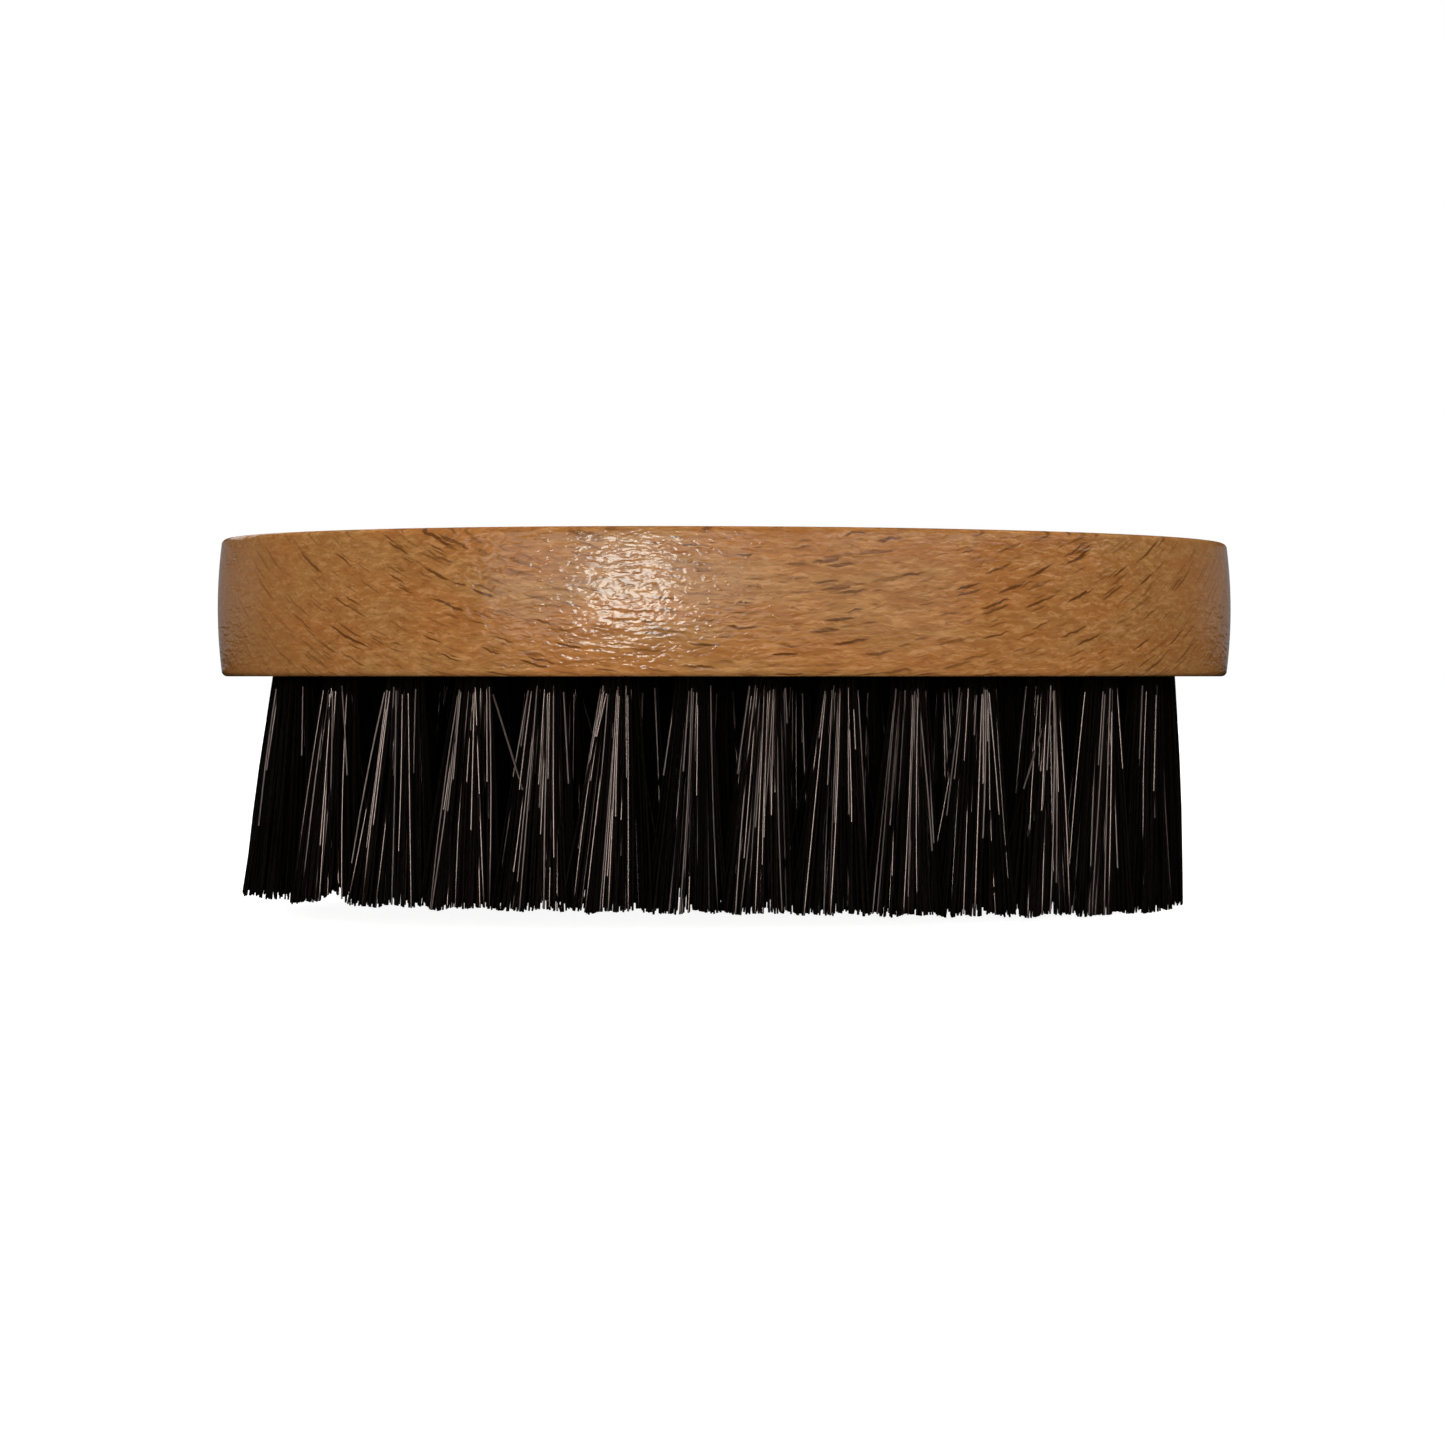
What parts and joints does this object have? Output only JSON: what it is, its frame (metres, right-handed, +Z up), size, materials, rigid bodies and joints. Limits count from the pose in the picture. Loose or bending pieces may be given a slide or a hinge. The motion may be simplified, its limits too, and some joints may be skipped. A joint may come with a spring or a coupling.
{
  "type": "beard brush",
  "caption": "Palm-size oval beard brush: a flat-backed one-piece beech block with dark natural bristle tufts stapled into blind holes in its lower face.",
  "frame": {"origin": "middle of the plane that the bristle tips lie in, which the brush rests on with its bristles down", "axes": "+X along the block's length, +Y across it, +Z up from the bristle tips to the flat back"},
  "size_m": [0.11, 0.055, 0.0395],
  "materials": {
    "beech": "clear gloss lacquer over fine-grained beech with short dark ray flecks",
    "bristle": "black natural boar bristle with a low waxy sheen",
    "staple_wire": "bright flat wire, hidden in the holes"
  },
  "bodies": {
    "root": {"handle_block": "beech", "tuft_outer_01": "bristle", "tuft_outer_02": "bristle", "tuft_outer_03": "bristle", "tuft_outer_04": "bristle", "tuft_outer_05": "bristle", "tuft_outer_06": "bristle", "tuft_outer_07": "bristle", "tuft_outer_08": "bristle", "tuft_outer_09": "bristle", "tuft_outer_10": "bristle", "tuft_outer_11": "bristle", "tuft_outer_12": "bristle", "tuft_outer_13": "bristle", "tuft_outer_14": "bristle", "tuft_outer_15": "bristle", "tuft_outer_16": "bristle", "tuft_outer_17": "bristle", "tuft_outer_18": "bristle", "tuft_outer_19": "bristle", "tuft_outer_20": "bristle", "tuft_outer_21": "bristle", "tuft_outer_22": "bristle", "tuft_outer_23": "bristle", "tuft_outer_24": "bristle", "tuft_outer_25": "bristle", "tuft_outer_26": "bristle", "tuft_outer_27": "bristle", "tuft_outer_28": "bristle", "tuft_outer_29": "bristle", "tuft_outer_30": "bristle", "tuft_inner_01": "bristle", "tuft_inner_02": "bristle", "tuft_inner_03": "bristle", "tuft_inner_04": "bristle", "tuft_inner_05": "bristle", "tuft_inner_06": "bristle", "tuft_inner_07": "bristle", "tuft_inner_08": "bristle", "tuft_inner_09": "bristle", "tuft_inner_10": "bristle", "tuft_inner_11": "bristle", "tuft_inner_12": "bristle", "tuft_inner_13": "bristle", "tuft_inner_14": "bristle", "tuft_inner_15": "bristle", "tuft_inner_16": "bristle", "tuft_inner_17": "bristle", "tuft_inner_18": "bristle", "tuft_inner_19": "bristle", "tuft_inner_20": "bristle", "tuft_inner_21": "bristle", "tuft_inner_22": "bristle", "tuft_centre_01": "bristle", "tuft_centre_02": "bristle", "tuft_centre_03": "bristle", "tuft_centre_04": "bristle", "tuft_centre_05": "bristle", "tuft_centre_06": "bristle", "tuft_centre_07": "bristle"}
  },
  "joints": []
}
